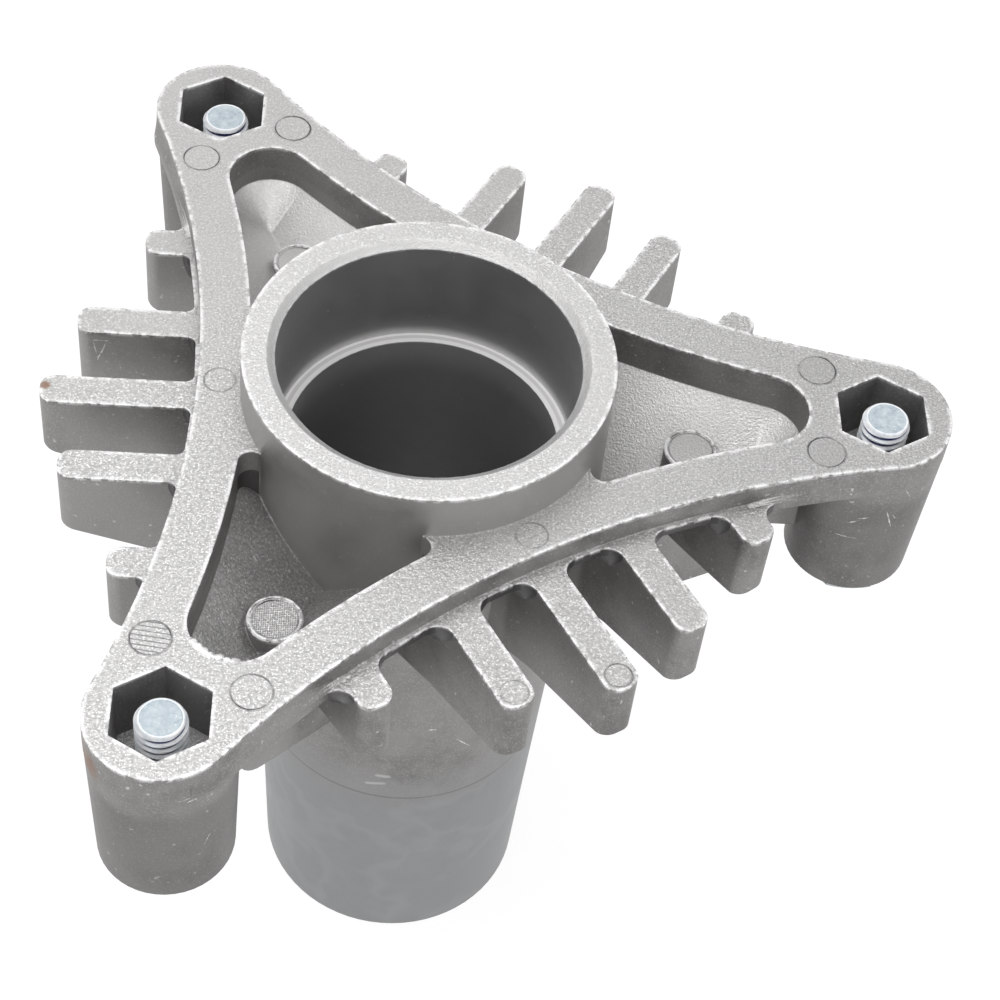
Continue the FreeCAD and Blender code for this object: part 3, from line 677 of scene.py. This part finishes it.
PITCH = 1.41
THREAD_RAD = 3.85
ROOT_RAD = 3.1
THREAD_LONG = 15.0
SHANK_RAD = 3.7
HEAD_HALF = 6.35  # half the distance across the head's flats
HEAD_HIGH = 5.2
FOOT_RAD = 5.9
ROWS = 8  # rows of the mesh in a turn of the thread


def thread_radius(turn, depth):
    """Radius of the screw at a share of a turn and a depth under its tip."""
    share = (depth / PITCH + turn) % 1.0
    crest = min(1.0, max(0.0, (abs(share - 0.5) - 0.08) / 0.33))
    full = ROOT_RAD + (THREAD_RAD - ROOT_RAD) * crest
    chamfer = 3.25 + depth * 0.9
    fade = max(0.0, min(1.0, (THREAD_LONG - depth) / PITCH))
    return min(full * fade + SHANK_RAD * (1 - fade), chamfer)


# a rolled thread leaves the tip dished inside a thin rim: radius and depth under the tip
TIP_STEPS = ((2.9, 0.1), (2.98, 0.1), (3.06, 0.0), (3.26, 0.0), (3.48, 0.2))


def screw(bm, x, y, tip, seat):
    """One hexagon head screw, tip up, with its rolled thread; seat is its head's upper face."""
    disc = bm.verts.layers.float.get("tip_disc") or bm.verts.layers.float.new("tip_disc")
    round_plan = circle(SEGMENTS)
    hexagon = [HEAD_HALF / math.cos((math.radians(360 * k / SEGMENTS) % (math.pi / 3)) - math.pi / 6)
               for k in range(SEGMENTS)]
    foot = seat - HEAD_HIGH
    rows = []

    def row(radii, heights):
        rows.append([bm.verts.new(((x + r * c) * MM, (y + r * s) * MM, height * MM))
                     for r, height, (c, s) in zip(radii, heights, round_plan)])

    for r, deep in TIP_STEPS:
        row([r] * SEGMENTS, [tip - deep] * SEGMENTS)
    for vert in rows[0] + rows[1]:
        vert[disc] = 1.0
    for k in range(int(THREAD_LONG / PITCH * ROWS) + 1):
        depth = 0.3 + k * PITCH / ROWS
        row([thread_radius(j / SEGMENTS, depth) for j in range(SEGMENTS)], [tip - depth] * SEGMENTS)
    row([SHANK_RAD] * SEGMENTS, [seat] * SEGMENTS)
    row([r - 0.15 for r in hexagon], [seat] * SEGMENTS)
    row(hexagon, [seat - 0.15] * SEGMENTS)
    row(hexagon, [foot + 0.1 + max(0.0, r - HEAD_HALF) * 0.6 for r in hexagon])
    row([FOOT_RAD] * SEGMENTS, [foot] * SEGMENTS)
    for high, low in zip(rows, rows[1:]):
        for k in range(SEGMENTS):
            after = (k + 1) % SEGMENTS
            bm.faces.new((low[k], low[after], high[after], high[k]))
    bm.faces.new(rows[0])
    bm.faces.new(rows[-1][::-1])


# where each stands: its middle, a little off its post's where the photograph shows that, tip and seat
SCREWS = [(turned(BOLT, 0, arm)[0] + aside, turned(BOLT, 0, arm)[1], tip, seat)
          for arm, aside, tip, seat in ((0, 0.9, 122.9, 92.3), (120, 0.6, 121.9, 91.3), (240, 0.0, 122.9, 92.3))]


def screws():
    """The three screws, with how deep in the thread each point lies as thread_depth."""
    bm = bmesh.new()
    for x, y, tip, seat in SCREWS:
        screw(bm, x, y, tip, seat)
    piece = mesh_object("threaded_screws", bm)
    deep = piece.data.attributes.new("thread_depth", "FLOAT", "POINT")
    for vert, item in zip(piece.data.vertices, deep.data):
        x, y, tip, _ = min(SCREWS, key=lambda spot: (Vector(spot[:2]) * MM - vert.co.xy).length)
        out = (vert.co.xy - Vector((x, y)) * MM).length / MM
        on_thread = tip - vert.co.z / MM > 0.75 and out < THREAD_RAD + 0.1
        item.value = (THREAD_RAD - out) / (THREAD_RAD - ROOT_RAD) if on_thread else 0.0
    return piece


# camera, floor and lights

def camera():
    """The photograph's viewing angle, worked out from the rim's symmetry and the round edges."""
    data = bpy.data.cameras.new("camera")
    data.lens = 87.22
    data.sensor_width = 36.0
    data.clip_start = 0.01
    view = bpy.data.objects.new("camera", data)
    bpy.context.scene.collection.objects.link(view)
    right = Vector((0.99665256, -0.00448442, 0.08163063))
    up = Vector((-0.04815698, 0.77467753, 0.63052013))
    back = Vector((-0.06606494, -0.63234059, 0.77186838))
    view.matrix_world = Matrix((
        (right.x, up.x, back.x, -12.68 * MM),
        (right.y, up.y, back.y, -250.01 * MM),
        (right.z, up.z, back.z, 403.34 * MM),
        (0, 0, 0, 1)))
    bpy.context.scene.camera = view


FLOOR_HALF = 6.0  # metres


def floor():
    """A wide pale floor, white where the camera or a reflection sees it, with the shadow kept."""
    bm = bmesh.new()
    bm.faces.new([bm.verts.new((x * FLOOR_HALF, y * FLOOR_HALF, 0)) for x, y in ((-1, -1), (1, -1), (1, 1), (-1, 1))])
    piece = mesh_object("floor", bm)
    material, n = new_material("floor_white")
    plain = n.add("BsdfDiffuse", Color=(0.85, 0.85, 0.85, 1))
    faint = n.add("BsdfDiffuse", Color=(0.22, 0.22, 0.22, 1))
    glow = n.add("Emission", Color=(1, 1, 1, 1), Strength=0.86)
    path = n.add("LightPath")
    seen = n.math("MAXIMUM", path.outputs["Is Camera Ray"], path.outputs["Is Glossy Ray"])
    shown = n.tree.nodes.new("ShaderNodeAddShader")
    n.tree.links.new(faint.outputs[0], shown.inputs[0])
    n.tree.links.new(glow.outputs[0], shown.inputs[1])
    both = n.tree.nodes.new("ShaderNodeMixShader")
    n.feed(both, "0", seen)
    n.tree.links.new(plain.outputs[0], both.inputs[1])
    n.tree.links.new(shown.outputs[0], both.inputs[2])
    n.add("OutputMaterial", Surface=both.outputs[0])
    piece.data.materials.append(material)


def area_light(name, place, size, power):
    """A round lamp aimed at the object's head, in metres and watts."""
    data = bpy.data.lights.new(name, "AREA")
    data.shape = "DISK"
    data.size = size
    data.energy = power
    light = bpy.data.objects.new(name, data)
    light.location = place
    aim = Vector((0, 0, 0.1)) - Vector(place)
    light.rotation_euler = aim.to_track_quat("-Z", "Y").to_euler()
    bpy.context.scene.collection.objects.link(light)


SKY = 0.55  # the world's strength on matt surfaces, and 1 where the camera or a reflection sees it


def lights():
    """A plain white world, a large lamp overhead and a faint one in front."""
    world = bpy.data.worlds.new("world")
    bpy.context.scene.world = world
    world.use_nodes = True
    tree = world.node_tree
    background = tree.nodes["Background"]
    background.inputs["Color"].default_value = (1, 1, 1, 1)
    path = tree.nodes.new("ShaderNodeLightPath")
    seen = tree.nodes.new("ShaderNodeMath")
    seen.operation = "MULTIPLY_ADD"
    shown = tree.nodes.new("ShaderNodeMath")
    shown.operation = "MAXIMUM"
    tree.links.new(path.outputs["Is Camera Ray"], shown.inputs[0])
    tree.links.new(path.outputs["Is Glossy Ray"], shown.inputs[1])
    tree.links.new(shown.outputs[0], seen.inputs[0])
    seen.inputs[1].default_value = 1.0 - SKY
    seen.inputs[2].default_value = SKY
    tree.links.new(seen.outputs[0], background.inputs["Strength"])
    area_light("key", (-0.25, -0.02, 1.2), 1.5, 9.0)
    area_light("fill", (1.1, -0.7, 0.7), 0.8, 3.0)


# put together

CAST_SMOOTH = 35
SCREW_SMOOTH = 28

bpy.context.scene.view_settings.view_transform = "Standard"
camera()
floor()
lights()

CAST = casting_material("cast_aluminium", edge_wear_and_highlight=0.9)
MARK = casting_material("ejector_marks", edge_wear_and_highlight=0.3)
ZINC = screw_material()


def finish_piece(piece, slot, *nodes):
    """Says what the piece rides on and which nodes it stands for; slot is not used."""
    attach(piece, "root")
    if nodes:
        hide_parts(*nodes)


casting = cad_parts["housing"]
for material_slot in casting.material_slots:
    material_slot.material = CAST

for piece, material in ((corner_rounds(), CAST), (fin_fillets(), CAST), (ledge_ends(), CAST),
                        (flash_lumps(), CAST), (pad_rings(), CAST), (marks(), MARK),
                        (scratches(casting), scratch_material())):
    piece.data.materials.append(material)
    smooth_by_angle(piece, CAST_SMOOTH)
    finish_piece(piece, "casting")

bolts = screws()
bolts.data.materials.append(ZINC)
smooth_by_angle(bolts, SCREW_SMOOTH)
finish_piece(bolts, "screws", "mounting_screws")
